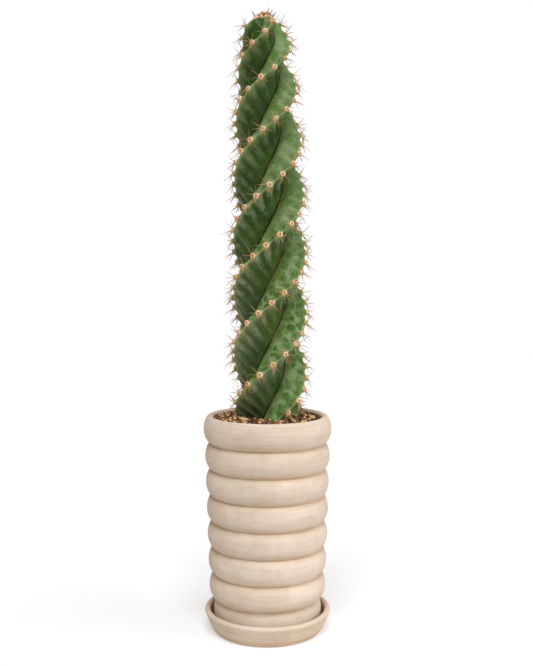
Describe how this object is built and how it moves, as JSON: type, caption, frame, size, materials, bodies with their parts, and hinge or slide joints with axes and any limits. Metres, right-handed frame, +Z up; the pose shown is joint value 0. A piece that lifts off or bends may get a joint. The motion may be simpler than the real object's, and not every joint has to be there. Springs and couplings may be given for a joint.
{
  "type": "potted spiral cactus",
  "caption": "Tall spiral cactus with twisted ribs, woolly areoles and spines, standing in a ringed clay pot of gritty soil on a matching saucer.",
  "frame": {"origin": "middle of the saucer's flat underside, on the surface that it stands on", "axes": "+Z up along the pot and stem; -Y towards the side that the picture shows; +X to the right in it"},
  "size_m": [0.1512, 0.1512, 0.7264],
  "materials": {
    "cactus_skin": "satin",
    "soil": "matte",
    "pot_clay": "matte",
    "saucer_clay": "matte"
  },
  "bodies": {
    "root": {"stem": "cactus_skin", "soil": "soil", "pot": "pot_clay", "saucer": "saucer_clay"}
  },
  "joints": []
}
